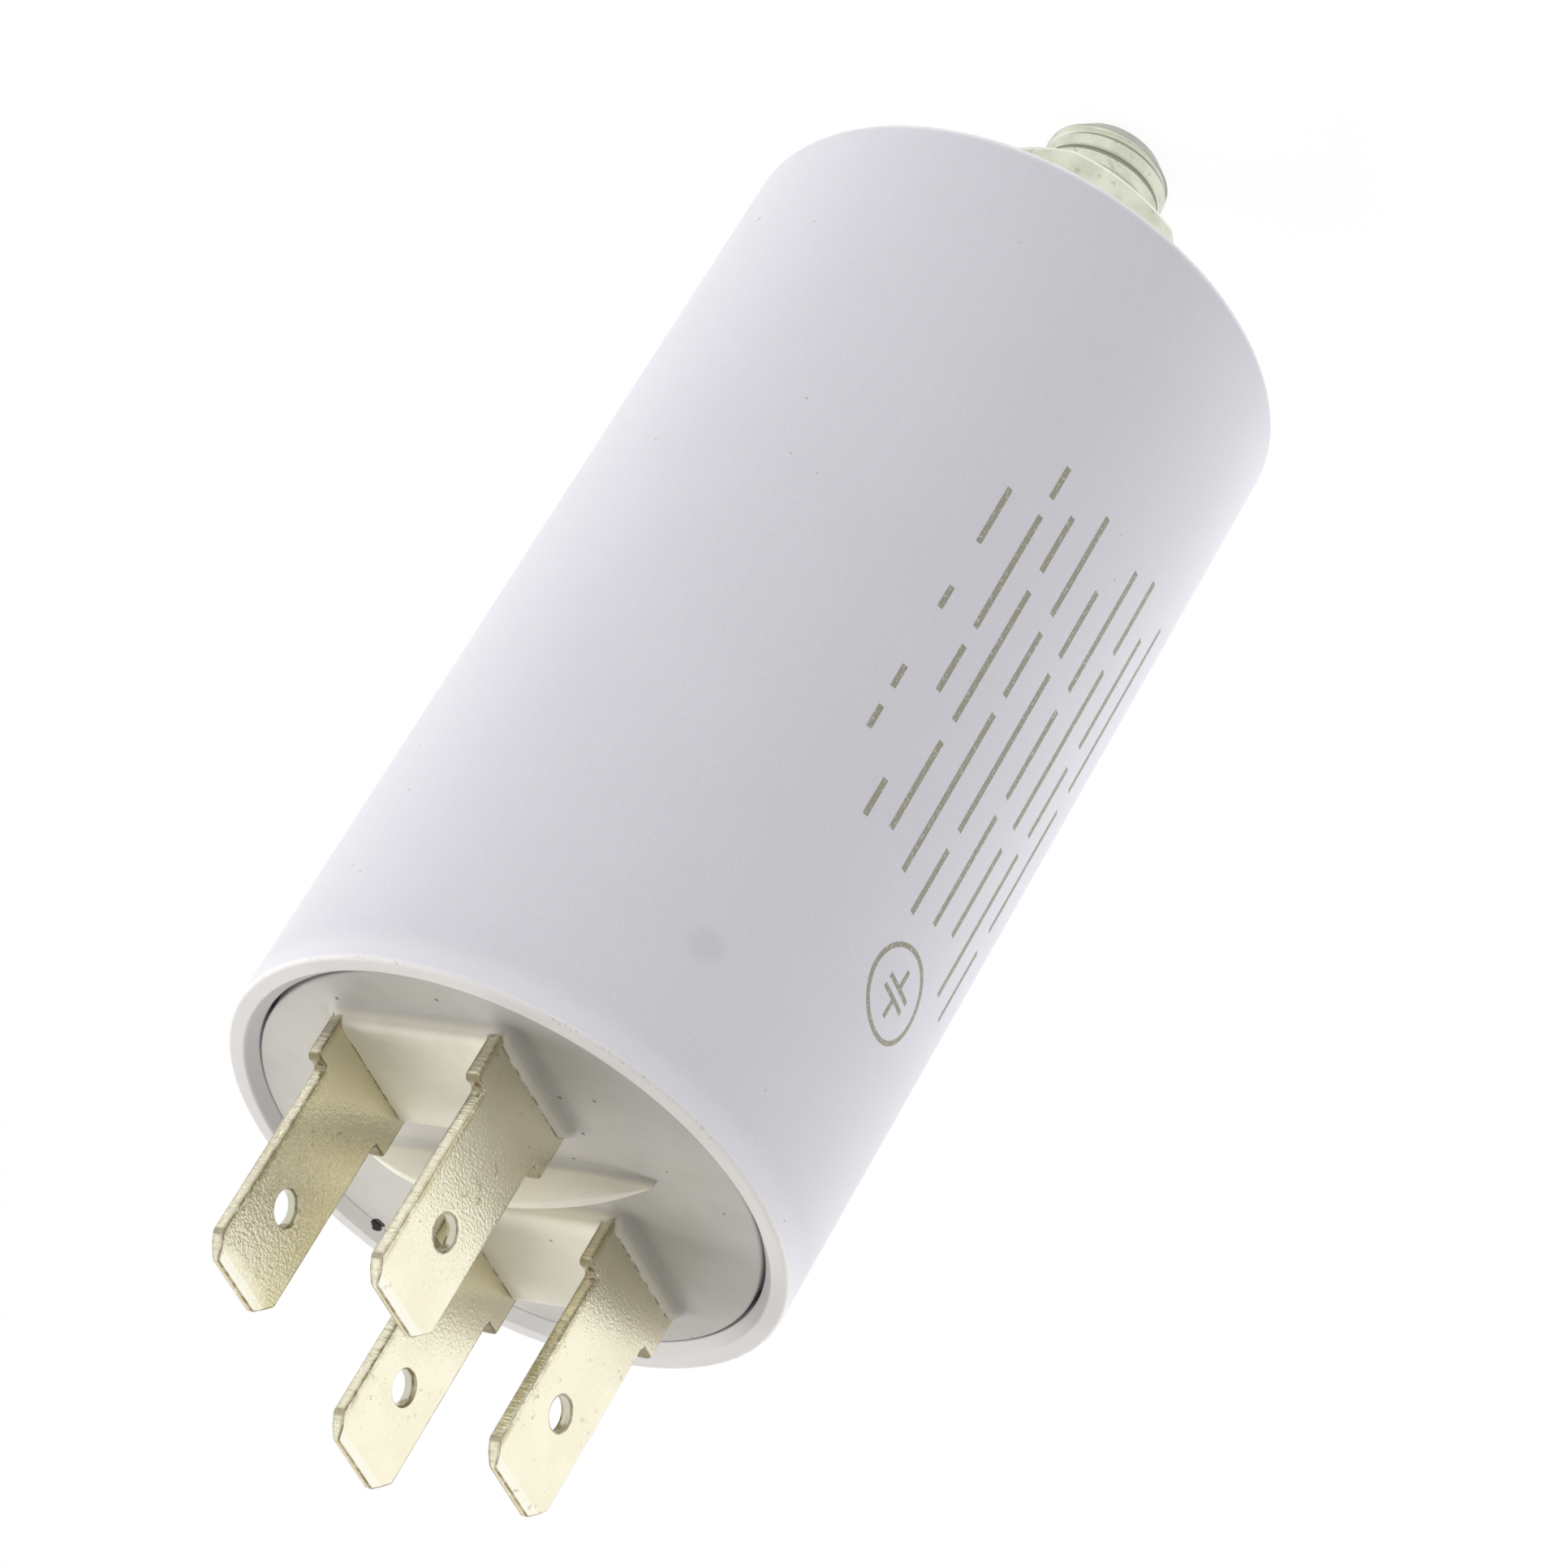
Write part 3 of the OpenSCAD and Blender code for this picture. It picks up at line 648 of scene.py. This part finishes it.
# A rounded rectangle, grown by d at each level of the profile (d, z): foot fillet, sloping wall, rounded
# top. The profile is the part of a wider closed loop that lies on the floor, the wall and the top.
def bossGrid(side):
    s, floor = bossSize, lidSize["top"]
    low, deep, outer, inner = floor - 0.02, floor - 0.4, 1.5, -1.1
    corners = [
        (outer, low), (s["outward"], low), (-s["inward"], s["top"]),
        (inner, s["top"]), (inner, deep), (outer, deep)]
    profile, _ = roundedLoop(corners, [0, s["foot"], s["edge"], 0, 0, 0], margin=0.06)
    d, z = profile.T
    profile = profile[(d < s["footReach"]) & (d > -s["topReach"]) & (z > floor - 0.1)]
    profile = np.vstack([[profile[0, 0], floor - s["sink"]], profile])
    d, z = profile[:, :1], profile[:, 1:]
    steps = s["cornerSteps"]
    angle = np.concatenate([np.linspace(0, np.pi / 2, steps) + k * np.pi / 2 for k in range(4)])
    signX = np.repeat([1, -1, -1, 1], steps)
    signY = np.repeat([1, 1, -1, -1], steps)
    x = signX * (s["halfX"] - s["corner"]) + (s["corner"] + d) * np.cos(angle)
    y = signY * (s["halfY"] - s["corner"]) + (s["corner"] + d) * np.sin(angle)
    return np.stack([x, y + side * s["offset"], z + 0 * x], -1)


# Wedge section under an arched crest: z runs from the floor to crest(x), y is the wedge's half width
# there, flared at the foot and rounded at the crest. Seen from above, the width falls as 1 - u squared
# over each end's taper.
def barrierGrid():
    s, floor = barrierSize, lidSize["top"]
    u = np.sin(np.linspace(0, np.pi / 2, s["endRows"])[1:])
    straight = np.linspace(-1, 1, s["rows"]) * (s["halfLength"] - s["endTaper"])
    past = s["halfLength"] - s["endTaper"] * (1 - u)
    x = np.concatenate([-past[::-1], straight, past])[:, None]
    taper = 1 - u * u
    plan = np.concatenate([taper[::-1], np.ones(s["rows"]), taper])[:, None]
    bow = s["rise"] - s["endRise"]
    arcRadius = (s["halfLength"] ** 2 + bow ** 2) / (2 * bow)
    crest = floor + s["rise"] - arcRadius + np.sqrt(arcRadius ** 2 - x ** 2)
    footUp = np.array([-0.3, -0.01, 0.05, 0.13, 0.24, 0.36])
    footOut = np.array([0.36, 0.34, 0.17, 0.07, 0.015, 0.0])
    crestDown = np.array([0.24, 0.12, 0.06, 0.02, 0.0])
    crestOut = np.array([0.0, 0.0, -0.015, -0.055, -0.11])
    z = np.concatenate([floor + footUp + 0 * x, crest - crestDown], 1)
    wedge = s["halfFoot"] - (s["halfFoot"] - s["halfCrest"]) * np.clip((z - floor) / s["rise"], 0, 1)
    y = (wedge + np.concatenate([footOut, crestOut])) * np.maximum(plan, s["leastPlan"])
    z = np.concatenate([z, z[:, ::-1]], 1)
    y = np.concatenate([y, -y[:, ::-1]], 1)
    return np.stack([x + 0 * z, y, z], -1)


makePiece("lid_plate", [(lidGrid(), False)], cream, ["lid"])
makePiece("boss_a", [(bossGrid(1), False)], cream)
makePiece("boss_b", [(bossGrid(-1), False)], cream)
makePiece("barrier", [(barrierGrid(), False)], cream)


tabSize = dict(
    halfWidth=3.15, halfThick=0.4, tip=80.3, foot=63.0, halfShoulder=4.225, shoulderTop=67.97, notch=67.76,
    bevelAcross=1.0, bevelAlong=1.2, leadIn=0.6, tipShare=0.5, holeHeight=74.9, holeRadius=1.0,
    pitch=5.3, offset=7.6, strapLow=61.6, strapBend=0.8, strapEdge=0.08, strapOverlap=0.2)


# Corners moved inwards by e along both sides' normals.
def insetCorners(corners, e):
    corners = np.asarray(corners, float)
    ahead = np.roll(corners, -1, 0) - corners
    ahead /= np.linalg.norm(ahead, axis=1)[:, None]
    normal = np.stack([-ahead[:, 1], ahead[:, 0]], -1)
    before = np.roll(normal, 1, 0)
    return corners + e * (normal + before) / (1 + (normal * before).sum(1))[:, None]


# The right half of an outline, followed by its mirror image from the tip back to the foot.
def bothSides(right):
    return np.array(right + [(-a, b) for a, b in right[::-1]])


# A blade is a closed ring of loops: from the hole over one face to the outline, round the rolled and
# sheared edge, back over the other face and through the hole. Its half thickness shrinks towards the tip.
def bladeGrid():
    s = tabSize
    w, h, t = s["halfWidth"], s["halfShoulder"], s["halfThick"]
    corners = bothSides([
        (h, s["foot"]), (h, s["shoulderTop"]), (w, s["notch"]),
        (w, s["tip"] - s["bevelAlong"]), (w - s["bevelAcross"], s["tip"])])
    radii = [0.3, 0.36, 0.28, 0.36, 0.36]
    outline, place = roundedLoop(corners, radii + radii[::-1], margin=0.08, spacing=0.2)
    along = np.roll(outline, -1, 0) - np.roll(outline, 1, 0)
    along /= np.linalg.norm(along, axis=1)[:, None]
    inward = np.stack([-along[:, 1], along[:, 0]], -1)
    crease = atPlaces(insetCorners(corners, s["leadIn"]), place)
    inner = atPlaces(bothSides([(2.1, 63.9), (2.1, 64.9), (2.1, 66.7), (2.1, 78.2), (1.4, 79.0)]), place)
    middle = np.array([0, s["holeHeight"]])
    away = inner - middle
    away *= s["holeRadius"] / np.linalg.norm(away, axis=1)[:, None]

    # share of the hole's radius or distance inside the outline, then the level as a share of t
    holeFront = [(1.0, 0.80), (1.02, 0.93), (1.08, 1.0), (1.25, 1.0)]
    holeBack = [(1.25, -1.0), (1.10, -1.0), (1.06, -0.9), (1.04, -0.6), (1.0, -0.45)]
    roll = [(0.30, 1.0), (0.20, 0.985), (0.115, 0.945), (0.05, 0.865), (0.012, 0.74), (0.0, 0.58),
            (0.0, -0.80), (0.012, -0.93), (0.045, -1.0), (0.30, -1.0)]
    rows = [(middle + r * away, k) for r, k in holeFront] + [(inner, 1), (crease, 1)]
    rows += [(outline + e * inward, k) for e, k in roll]
    rows += [(crease, -1), (inner, -1)] + [(middle + r * away, k) for r, k in holeBack]
    flat = np.stack([r[0] for r in rows])
    level = np.array([r[1] * t for r in rows])[:, None]
    thin = 1 - (1 - s["tipShare"]) * np.clip((flat[..., 1] - s["tip"] + s["leadIn"]) / s["leadIn"], 0, 1)
    return np.concatenate([(level * thin)[..., None], flat], -1)


# The web under the lid: a rounded rectangle carried along a U-shaped path in the plane y = 0.
def strapGrid():
    s = tabSize
    out, low, high = s["pitch"], s["strapLow"], s["foot"] + s["strapOverlap"]
    path, _ = roundedLoop([(-out, high), (-out, low), (out, low), (out, high)],
                          [0, s["strapBend"], s["strapBend"], 0], steps=8)
    path = path[1:-1]
    along = np.gradient(path, axis=0)
    along /= np.linalg.norm(along, axis=1)[:, None]
    side = np.stack([-along[:, 1], along[:, 0]], -1)
    half, thick = s["halfShoulder"], s["halfThick"]
    corners = [(-half, -thick), (half, -thick), (half, thick), (-half, thick)]
    section, _ = roundedLoop(corners, [s["strapEdge"]] * 4, steps=3)
    x = path[:, :1] + side[:, :1] * section[:, 1]
    z = path[:, 1:] + side[:, 1:] * section[:, 1]
    return np.stack([x, section[:, 0] + 0 * x, z], -1)


# Two blades, mirrored and moved apart, and the web that joins them.
def terminalGrids(pair):
    s = tabSize
    blade = bladeGrid()
    grids = [(blade * [side, 1, 1] + [side * s["pitch"], pair * s["offset"], 0], True) for side in (-1, 1)]
    return grids + [(strapGrid() + [0, pair * s["offset"], 0], False)]


makePiece("tabs_a", terminalGrids(1), tin, ["terminal_a"])
makePiece("tabs_b", terminalGrids(-1), tin, ["terminal_b"])


studSize = dict(
    radius=4.0, pitch=1.25, depth=0.28, crest=0.52, end=-15.1, endRadius=3.05, endSlope=0.85, endSoft=0.08,
    threadTop=-8.83, neck=3.58, base=2.5, headFlats=13.0, headTop=7.8, headBevel=0.5, headTopRadius=6.3,
    columns=192, rowsPerPitch=40)
nutSize = dict(
    flats=13.0, bottom=-9.226, top=-2.726, turn=5.5, faceInset=0.05, bevel=30.0, bore=3.6, sink=0.41,
    columns=360)
lockSize = dict(
    hole=4.2, ring=5.6, tip=7.5, thick=0.8, teeth=10, toothWidth=2.4, toothMiddle=6.6, toothSoft=0.22,
    twist=8.0, twistFrom=4.9, twistOver=0.9, twistMost=1.2, middle=-2.163, columns=360)
washerSize = dict(hole=4.2, radius=8.0, thick=1.6, top=-0.005, edges=(0.12, 0.28, 0.08, 0.05), columns=160)


# Hexagon's radius at angle t, with a corner on +X: flats / 2 over a high power mean of the three
# cosines to its flats, which rounds the corners a little.
def hexRadius(t, flats, power=56):
    total = sum(np.abs(np.cos(t - math.radians(a))) ** power for a in (30, 90, 150))
    return flats / 2 / total ** (1 / power)


# Radius over angle and height: the thread repeats once per pitch and climbs a pitch per turn, with flat
# crests and rounded roots, cut by a cone at the end; above it come the neck, the shank and the head.
def studGrid():
    s = studSize
    t = roundAngles(s["columns"])
    count = int((s["threadTop"] - s["end"]) / s["pitch"] * s["rowsPerPitch"])
    h = np.linspace(s["end"], s["threadTop"], count)[:, None]
    fromCrest = 2 * np.abs((h / s["pitch"] - t / (2 * np.pi)) % 1.0 - 0.5)
    share = np.clip((fromCrest - s["crest"]) / (1 - s["crest"]), 0, 1)
    thread = s["radius"] - s["depth"] * (0.5 - 0.5 * np.cos(np.pi * share))
    cone = s["endRadius"] + s["endSlope"] * (h - s["end"])

    # the smaller of thread and cone, blended by a parabola where they are nearly equal
    gap, soft = thread - cone, s["endSoft"]
    blend = 0.5 * (thread + cone) - (gap * gap + soft * soft) / (4 * soft)
    thread = np.where(gap > soft, cone, np.where(gap < -soft, thread, blend))
    head = hexRadius(t, s["headFlats"])
    above = [
        (s["neck"], s["threadTop"] + 0.05), (s["neck"], -0.02), (s["radius"], -0.01),
        (s["radius"], s["base"]), (head, s["base"]), (head, s["headTop"] - s["headBevel"]),
        (np.minimum(head, s["headTopRadius"]), s["headTop"])]
    r = np.vstack([thread] + [radius + 0 * t for radius, _ in above])
    levels = np.concatenate([h[:, 0], [level for _, level in above]])
    return np.stack([r * np.cos(t), r * np.sin(t), levels[:, None] + 0 * r], -1)


# Rings from the bore over the lower face, down the bevel that runs at 30 degrees, up the six sides and
# back over the upper face: the bevel's edge dips where the hexagon's radius falls.
def nutGrid():
    s = nutSize
    t = roundAngles(s["columns"])
    side = hexRadius(t - math.radians(s["turn"]), s["flats"])
    face = s["flats"] / 2 - s["faceInset"]
    out = side - face
    drop = out * math.tan(math.radians(s["bevel"]))
    half = [
        (s["bore"], s["sink"]), (3.98, 0.03), (4.06, 0), (4.5, 0), (face - 0.25, 0), (face - 0.05, 0.004),
        (face + 0.1 * out, 0.1 * drop + 0.006), (face + 0.45 * out, 0.45 * drop),
        (face + 0.85 * out, 0.85 * drop),
        (side - 0.035, drop - 0.005), (side - 0.008, drop + 0.05), (side, drop + 0.12), (side, drop + 0.5)]
    r = np.stack([radius + 0 * t for radius, _ in half + half[::-1]])
    lower = [s["bottom"] + depth + 0 * t for _, depth in half]
    upper = [s["top"] - depth + 0 * t for _, depth in half[::-1]]
    return np.stack([r * np.cos(t), r * np.sin(t), np.stack(lower + upper)], -1)


# A flat ring whose outer radius jumps between ring and tooth tip; a tooth's height off the ring's plane
# is its sideways distance times the twist's tangent, faded in from the ring.
def lockGrid():
    s = lockSize
    t = roundAngles(s["columns"])
    period = 2 * np.pi / s["teeth"]
    local = (t + period / 2) % period - period / 2
    edge = np.clip((s["toothWidth"] / 2 - np.abs(local) * s["toothMiddle"]) / s["toothSoft"] + 0.5, 0, 1)
    outer = s["ring"] + (s["tip"] - s["ring"]) * edge * edge * (3 - 2 * edge)
    share = np.array([0, 0.03, 0.2, 0.4, 0.6, 0.8, 0.96, 1])
    level = np.array([0.9, 1, 1, 1, 1, 1, 1, 0.88]) * s["thick"] / 2
    share = np.concatenate([share, share[::-1]])[:, None]
    level = np.concatenate([level, -level[::-1]])[:, None]
    r = s["hole"] + share * (outer - s["hole"])
    grown = np.clip((r - s["twistFrom"]) / s["twistOver"], 0, 1)
    sideways = np.clip(r * np.sin(local), -s["twistMost"], s["twistMost"])
    lift = sideways * math.tan(math.radians(s["twist"])) * grown * edge
    return np.stack([r * np.cos(t), r * np.sin(t), s["middle"] + level + lift], -1)


# A rectangle with rounded corners, turned about the axis.
def washerGrid():
    s = washerSize
    inner, outer, low, high = s["hole"], s["radius"], -s["thick"], s["top"]
    loop, _ = roundedLoop([(inner, low), (outer, low), (outer, high), (inner, high)], s["edges"], steps=5)
    return turned(loop, s["columns"])


makePiece("threaded_stud", [(studGrid(), False)], zinc, ["stud"], sharpAngle=55)
makePiece("stud_nut", [(nutGrid(), True)], zinc, ["hex_nut"])
makePiece("toothed_washer", [(lockGrid(), True)], zinc, ["lock_washer"])
makePiece("flat_washer", [(washerGrid(), True)], zinc, ["plain_washer"])


# rows: angle on the can, then the start and length of each bar along it
markSize = dict(
    radius=17.0, lift=0.014, sink=0.03, width=0.36, signAt=(-3.0, 49.3), signRadius=2.7, signStroke=0.30,
    plateHalf=1.25, plateAt=0.36, leadHalf=0.55, leadAt=1.06,
    rows=[
        (32.5, [(21.0, 4.2), (28.6, 1.6), (34.6, 1.6), (37.6, 1.6)]),
        (24.5, [(17.2, 2.4), (21.0, 8.6), (31.0, 3.4), (41.0, 2.6)]),
        (18.5, [(19.4, 4.2), (25.2, 9.8), (36.6, 6.4)]), (11.5, [(17.4, 7.6), (26.4, 4.8), (32.6, 11.6)]),
        (4.5, [(21.2, 5.0), (27.6, 11.8), (40.8, 4.6)]), (-2.5, [(17.6, 9.2), (28.4, 6.6), (36.4, 8.0)]),
        (-9.5, [(16.4, 5.6), (23.4, 12.0), (37.0, 6.4)]), (-16.5, [(19.0, 8.4), (29.0, 5.2), (35.6, 10.4)]),
        (-23.5, [(16.4, 12.6), (30.6, 9.0), (41.2, 5.0)])])


# A flat stroke on the can: a path in (arc length, height), widened to both sides along its normal, with
# its outer face just above the can and its inner face just below. A closed path gives a ring.
def strokeGrid(path, width, closed=False):
    s = markSize
    ahead = np.roll(path, -1, 0) - np.roll(path, 1, 0) if closed else np.gradient(path, axis=0)
    ahead = ahead / np.linalg.norm(ahead, axis=1)[:, None]
    side = np.stack([-ahead[:, 1], ahead[:, 0]], -1) * width / 2
    flat = np.stack([path - side, path + side, path + side, path - side], 1)
    r = s["radius"] + np.array([s["lift"], s["lift"], -s["sink"], -s["sink"]])
    angle = flat[..., 0] / s["radius"]
    return np.stack([r * np.cos(angle), r * np.sin(angle), flat[..., 1]], -1), closed


# Rows of plain bars, and a ring round the sign of two plates with a lead on each.
def markGrids():
    s = markSize
    stroke = s["signStroke"]
    grids = []
    for angle, bars in s["rows"]:
        arc = math.radians(angle) * s["radius"]
        for z, length in bars:
            bar = np.array([(arc, z), (arc, z + length / 2), (arc, z + length)])
            grids.append(strokeGrid(bar, s["width"]))
    middle = np.array([math.radians(s["signAt"][0]) * s["radius"], s["signAt"][1]])
    t = roundAngles(96)
    grids.append(strokeGrid(middle + s["signRadius"] * np.stack([np.cos(t), np.sin(t)], -1), stroke, True))
    step = np.linspace(-1, 1, 13)[:, None]
    for side in (-1, 1):
        plate = middle + step * [s["plateHalf"], 0] + [0, s["plateAt"] * side]
        lead = middle + step * [0, s["leadHalf"]] + [0, s["leadAt"] * side]
        grids += [strokeGrid(plate, stroke), strokeGrid(lead, stroke)]
    return grids


makePiece("printed_bars", markGrids(), ink, sharpAngle=30)


# The hidden pieces keep their CAD shape. Each finish has a light and a dull tone, how metallic and how
# rough it is, its noise's width and its bump's depth, and the nodes that wear it.
hiddenFinishes = dict(
    core_plastic=((0.83, 0.83, 0.85), (0.76, 0.76, 0.78), 0.0, 0.45, 2.0, 0.01, ["winding_core"]),
    wound_film=((0.66, 0.70, 0.76), (0.54, 0.58, 0.65), 0.3, 0.30, (0.4, 0.4, 14.0), 0.01, ["film_winding"]),
    sprayed_zinc=((0.55, 0.56, 0.58), (0.40, 0.41, 0.43), 0.8, 0.65, 0.25, 0.06,
                  ["sprayed_end_top", "sprayed_end_bottom"]),
    drawn_copper=((0.80, 0.54, 0.33), (0.66, 0.42, 0.24), 1.0, 0.30, (0.15, 0.15, 3.0), 0.004,
                  ["lead_short", "lead_long"]),
    cast_resin=((0.74, 0.62, 0.42), (0.64, 0.52, 0.34), 0.0, 0.35, 5.0, 0.05, ["potting_resin"]))
for finishName, (*look, nodeNames) in hiddenFinishes.items():
    finish = plainFinish(finishName, *look)
    for nodeName in nodeNames:
        cadNodes[nodeName].data.materials.clear()
        cadNodes[nodeName].data.materials.append(finish)
print("hidden pieces finished")


stageSize = dict(
    floorHalf=4.0, floorHeight=-0.01512, floorGlow=0.82, glowStrength=1.11, floorPaint=0.92,
    horizon=0.66, zenith=0.24, skyTurn=0.55, lean=0.38, leanTo=115.0)
# azimuth, distance, lower edge, upper edge and width of each lamp in metres, and its power
lamps = dict(
    lamp_left=(135, 0.40, 0.0, 0.060, 0.50, 0.29), lamp_right=(-72, 0.40, 0.0, 0.060, 0.50, 1.16),
    lamp_front=(62, 0.40, 0.0, 0.055, 0.50, 0.40), lamp_back=(170, 0.80, 0.0, 0.45, 0.50, 3.0),
    lamp_base=(-42, 0.085, -0.012, 0.008, 0.05, 0.006), lamp_over=(-141, 0.20, 0.40, 0.80, 0.40, 3.15))


# White to the camera and in reflections, plain pale paint to every other ray.
def makeFloor():
    s = stageSize
    mesh = bpy.data.meshes.new("floor")
    half, z = s["floorHalf"], s["floorHeight"]
    corners = [(-half, -half, z), (half, -half, z), (half, half, z), (-half, half, z)]
    mesh.from_pydata(corners, [], [(0, 1, 2, 3)])
    material = bpy.data.materials.new("floor_white")
    material.use_nodes = True
    tree = material.node_tree
    tree.nodes.clear()
    paint = tree.nodes.new("ShaderNodeBsdfDiffuse")
    paint.inputs["Color"].default_value = (s["floorPaint"],) * 3 + (1.0,)
    glow = tree.nodes.new("ShaderNodeEmission")
    ray = tree.nodes.new("ShaderNodeLightPath").outputs
    feed(glow.inputs["Strength"], plus(times(ray["Is Camera Ray"], s["glowStrength"] - 1.0), 1.0))
    mirrored = largest(ray["Is Glossy Ray"], ray["Is Transmission Ray"])
    mix = tree.nodes.new("ShaderNodeMixShader")
    glowing = largest(mirrored, times(ray["Is Camera Ray"], s["floorGlow"]))
    for socket, source in zip(mix.inputs, (glowing, paint.outputs[0], glow.outputs[0])):
        feed(socket, source)
    feed(tree.nodes.new("ShaderNodeOutputMaterial").inputs[0], mix.outputs[0])
    mesh.materials.append(material)
    floor = bpy.data.objects.new("floor", mesh)
    scene.collection.objects.link(floor)


# An upright panel that faces the can's axis from its azimuth, which counts from +X towards +Y. Metal
# mirrors the white room and not the panel.
def makeLamp(name, azimuth, distance, low, high, width, power):
    lamp = bpy.data.objects.new(name, bpy.data.lights.new(name, "AREA"))
    lamp.data.shape = "RECTANGLE"
    lamp.data.size = width
    lamp.data.size_y = high - low
    lamp.data.energy = power
    lamp.visible_glossy = False
    a = math.radians(azimuth)
    lamp.location = (distance * math.cos(a), distance * math.sin(a), 0.5 * (low + high))
    lamp.rotation_euler = (math.pi / 2, 0, a + math.pi / 2)
    scene.collection.objects.link(lamp)


# The room is white to the camera and in reflections. As a light it is pale at the
# horizon, dims towards the zenith and is stronger on one side.
def makeRoom():
    s = stageSize
    world = bpy.data.worlds.new("white_room")
    scene.world = world
    world.use_nodes = True
    tree = world.node_tree
    background = tree.nodes["Background"].inputs
    ray = tree.nodes.new("ShaderNodeLightPath").outputs
    direction = tree.nodes.new("ShaderNodeTexCoord").outputs["Generated"]
    low = softStep(splitAxes(direction)[2], s["skyTurn"], 0.0)
    light = plus(times(low, s["horizon"] - s["zenith"]), s["zenith"])
    leaning = times(toward(direction, s["leanTo"]), s["lean"])
    light = times(light, plus(leaning, 1.0))
    seen = largest(ray["Is Camera Ray"], ray["Is Glossy Ray"], ray["Is Transmission Ray"])
    feed(background["Strength"], largest(light, seen))
    feed(background["Color"], (1, 1, 1, 1))


makeRoom()
makeFloor()
for lampName, values in lamps.items():
    makeLamp(lampName, *values)
print("stage set")
